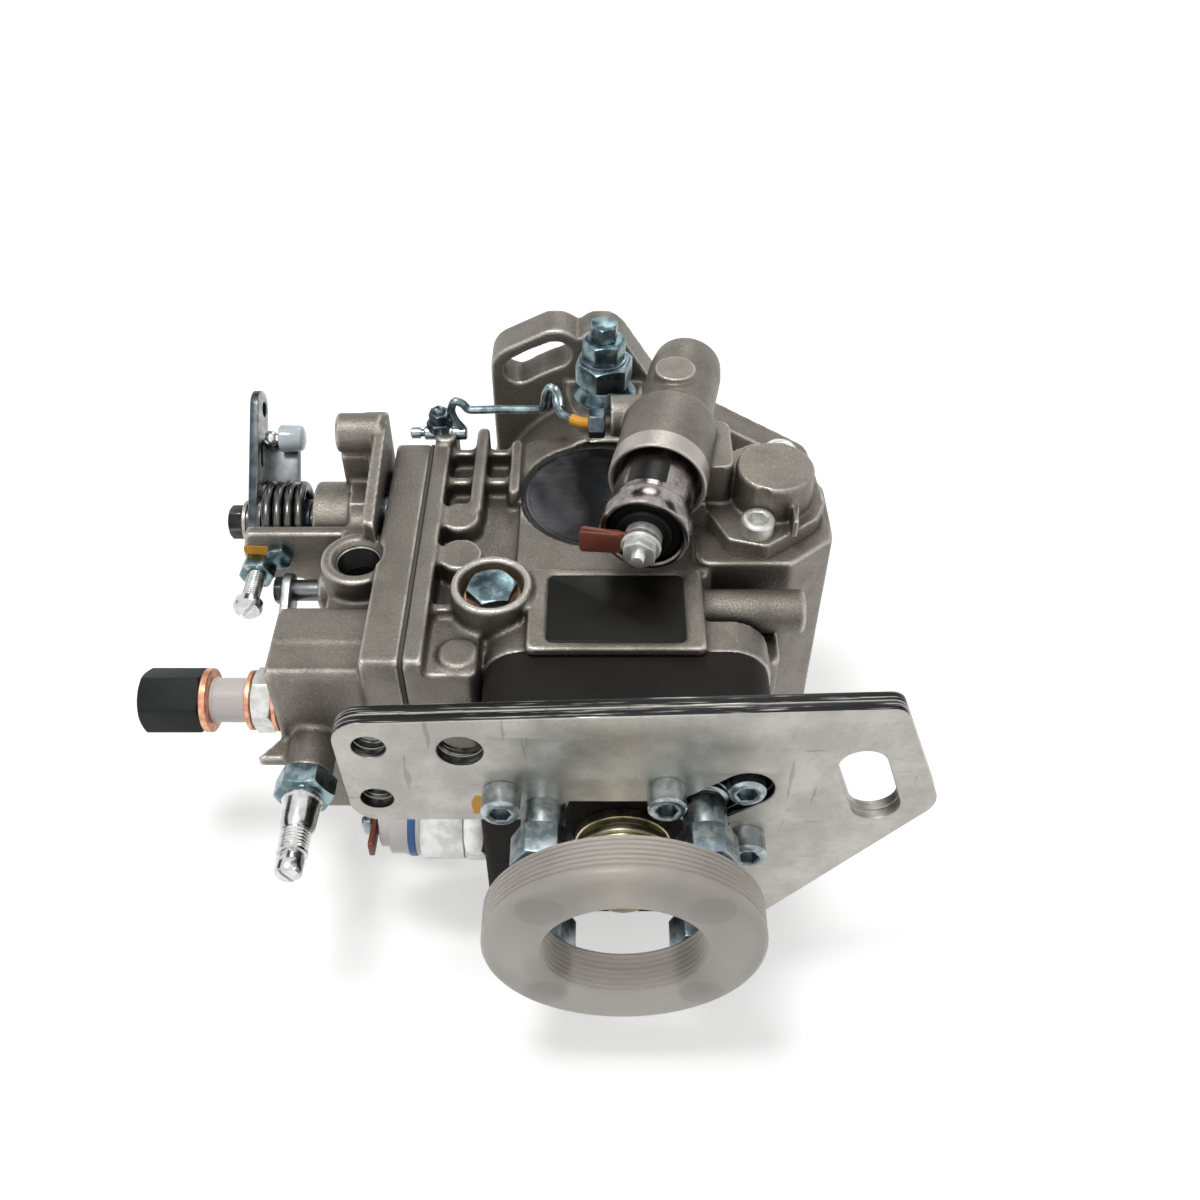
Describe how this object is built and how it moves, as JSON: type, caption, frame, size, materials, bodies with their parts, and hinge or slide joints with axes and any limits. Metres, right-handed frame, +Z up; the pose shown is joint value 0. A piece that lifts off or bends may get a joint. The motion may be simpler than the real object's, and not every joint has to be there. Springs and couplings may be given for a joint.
{
  "type": "diesel injection pump",
  "caption": "Distributor-type diesel injection pump: cast housing with three-eared flange, governor cover with levers, timing device, delivery head with bracket and milky cap ring.",
  "frame": {"origin": "centre of the mounting flange's front face on the drive shaft's axis", "axes": "+Y along the drive shaft out of the drive end, so the outlets face -Y; +Z up as in the picture, towards the nameplate side; -X towards the governor cover"},
  "size_m": [0.2227, 0.2437, 0.1401],
  "materials": {
    "cast_housing": "sand-cast aluminium, fine grain",
    "cast_cover": "die-cast aluminium, fine grain",
    "dark_casting": "rough dark casting",
    "zinc_plate": "zinc plated sheet, mottled",
    "zinc_fastener": "zinc plated steel, bluish",
    "yellow_zinc": "yellow passivated steel",
    "bright_steel": "bright plated steel",
    "solenoid_can": "mirror plated can",
    "zinc_can": "zinc plated can",
    "copper": "copper",
    "black_plate": "black semi-gloss plate, bare",
    "dark_disc": "dark glossy pressed disc",
    "clear_plastic": "milky transport cap",
    "white_nylon": "off-white nylon",
    "black_plastic": "matte black plastic",
    "black_rubber": "black rubber",
    "flag_plastic": "red-brown plastic",
    "gasket_paper": "dark gasket",
    "lever_steel": "zinc plated steel",
    "spring_steel": "dark spring steel",
    "machined_steel": "ground steel",
    "hardened_steel": "ground steel",
    "bearing_bronze": "bronze bush",
    "bare_aluminium": "turned aluminium"
  },
  "bodies": {
    "pump_body": {"pump_housing": "cast_housing", "timing_cover_upper": "cast_housing", "timing_cover_lower": "cast_housing", "governor_cover": "cast_cover", "distributor_head": "dark_casting", "bracket_rear_plate": "zinc_plate", "bracket_front_plate": "zinc_plate", "casting_screws": "zinc_fastener", "socket_screws": "zinc_fastener", "side_plug": "zinc_fastener", "shaft_lock_bolt": "zinc_fastener", "overflow_hex": "zinc_fastener", "lock_nuts": "zinc_fastener", "delivery_valve_holders": "zinc_fastener", "cold_start_terminal": "zinc_fastener", "head_plug": "yellow_zinc", "adjusting_screws": "bright_steel", "link_wire": "bright_steel", "cold_start_solenoid": "solenoid_can", "shutoff_solenoid": "zinc_can", "copper_washers": "copper", "nameplate": "black_plate", "side_cover_disc": "dark_disc", "delivery_cap_ring": "clear_plastic", "overflow_sleeve": "white_nylon", "shutoff_connector": "white_nylon", "overflow_cap": "black_plastic", "cold_start_cap": "black_rubber", "oil_seal": "black_rubber", "terminal_flags": "flag_plastic", "cover_gasket": "gasket_paper", "lever_return_spring": "spring_steel", "plunger_springs": "spring_steel", "governor_spring": "spring_steel", "timing_spring": "spring_steel", "governor_pins": "machined_steel", "pump_ring": "hardened_steel", "pump_support_plate": "hardened_steel", "shaft_bush": "bearing_bronze"},
    "drive_line": {"drive_shaft": "machined_steel", "pump_rotor": "machined_steel", "drive_gear": "machined_steel", "cross_disc": "machined_steel", "cam_plate": "machined_steel", "plunger": "machined_steel"},
    "flyweight_carrier": {"flyweight_cage": "machined_steel"},
    "flyweight_1_body": {"flyweight_1": "machined_steel"},
    "flyweight_2_body": {"flyweight_2": "machined_steel"},
    "flyweight_3_body": {"flyweight_3": "machined_steel"},
    "flyweight_4_body": {"flyweight_4": "machined_steel"},
    "governor_lever_body": {"governor_lever": "machined_steel"},
    "sliding_sleeve": {"governor_sleeve": "hardened_steel"},
    "spill_collar": {"control_collar": "hardened_steel"},
    "advance_piston": {"timing_piston": "bare_aluminium"},
    "roller_carrier": {"roller_ring": "machined_steel"},
    "throttle_lever": {"control_shaft": "bright_steel", "control_lever": "lever_steel", "lever_end_cap": "white_nylon"},
    "stop_lever_body": {"stop_lever": "lever_steel"},
    "shutoff_core": {"shutoff_plunger": "hardened_steel"}
  },
  "joints": [
    {"name": "drive_shaft_spin", "type": "hinge", "parent": "pump_body", "child": "drive_line", "pos_m": [0, 0, 0], "axis": [0, 1, 0], "continuous": true},
    {"name": "governor_spin", "type": "hinge", "parent": "pump_body", "child": "flyweight_carrier", "pos_m": [-0.0525, 0, 0], "axis": [0, 1, 0], "continuous": true},
    {"name": "flyweight_1_swing", "type": "hinge", "parent": "flyweight_carrier", "child": "flyweight_1_body", "pos_m": [-0.04154, -0.066, 0.01096], "axis": [-0.7071, 0, 0.7071], "range_deg": [0, 20]},
    {"name": "flyweight_2_swing", "type": "hinge", "parent": "flyweight_carrier", "child": "flyweight_2_body", "pos_m": [-0.06346, -0.066, 0.01096], "axis": [-0.7071, 0, -0.7071], "range_deg": [0, 20]},
    {"name": "flyweight_3_swing", "type": "hinge", "parent": "flyweight_carrier", "child": "flyweight_3_body", "pos_m": [-0.06346, -0.066, -0.01096], "axis": [0.7071, 0, -0.7071], "range_deg": [0, 20]},
    {"name": "flyweight_4_swing", "type": "hinge", "parent": "flyweight_carrier", "child": "flyweight_4_body", "pos_m": [-0.04154, -0.066, -0.01096], "axis": [0.7071, 0, 0.7071], "range_deg": [0, 20]},
    {"name": "governor_lever_swing", "type": "hinge", "parent": "pump_body", "child": "governor_lever_body", "pos_m": [-0.027, -0.103, 0], "axis": [0, 0, 1], "range_deg": [0, 4.6], "deforming": ["governor_spring"]},
    {"name": "sleeve_slide", "type": "slide", "parent": "pump_body", "child": "sliding_sleeve", "axis": [0, -1, 0], "range_m": [0, 0.00204], "stiffness_N_per_m": 2300, "springref_m": -0.0013},
    {"name": "collar_slide", "type": "slide", "parent": "pump_body", "child": "spill_collar", "axis": [0, 1, 0], "range_m": [0, 0.00143]},
    {"name": "timing_piston_slide", "type": "slide", "parent": "pump_body", "child": "advance_piston", "axis": [0, 0, 1], "range_m": [0, 0.008], "stiffness_N_per_m": 3000, "springref_m": -0.002, "deforming": ["timing_spring"]},
    {"name": "roller_ring_turn", "type": "hinge", "parent": "pump_body", "child": "roller_carrier", "pos_m": [0, 0, 0], "axis": [0, 1, 0], "range_deg": [-10, 0]},
    {"name": "control_lever_turn", "type": "hinge", "parent": "pump_body", "child": "throttle_lever", "pos_m": [-0.1, -0.0467, 0.014], "axis": [1, 0, 0], "range_deg": [0, 50], "stiffness_Nm_per_rad": 1, "springref_deg": -20.05, "deforming": ["lever_return_spring"]},
    {"name": "stop_lever_turn", "type": "hinge", "parent": "pump_body", "child": "stop_lever_body", "pos_m": [-0.1, -0.074, 0.009], "axis": [1, 0, 0], "range_deg": [0, 30], "stiffness_Nm_per_rad": 0.4, "springref_deg": -17.19},
    {"name": "shutoff_slide", "type": "slide", "parent": "pump_body", "child": "shutoff_core", "axis": [-1, 0, 0], "range_m": [0, 0.003], "stiffness_N_per_m": 2000}
  ],
  "couplings": [
    {"joint": "governor_spin", "follows": "drive_shaft_spin", "ratio": -1.4706},
    {"joint": "flyweight_1_swing", "follows": "sleeve_slide", "rad_per_m": 170.2},
    {"joint": "flyweight_2_swing", "follows": "sleeve_slide", "rad_per_m": 170.2},
    {"joint": "flyweight_3_swing", "follows": "sleeve_slide", "rad_per_m": 170.2},
    {"joint": "flyweight_4_swing", "follows": "sleeve_slide", "rad_per_m": 170.2},
    {"joint": "governor_lever_swing", "follows": "sleeve_slide", "rad_per_m": 39.216},
    {"joint": "collar_slide", "follows": "sleeve_slide", "ratio": 0.69412},
    {"joint": "roller_ring_turn", "follows": "timing_piston_slide", "rad_per_m": -21.505}
  ]
}
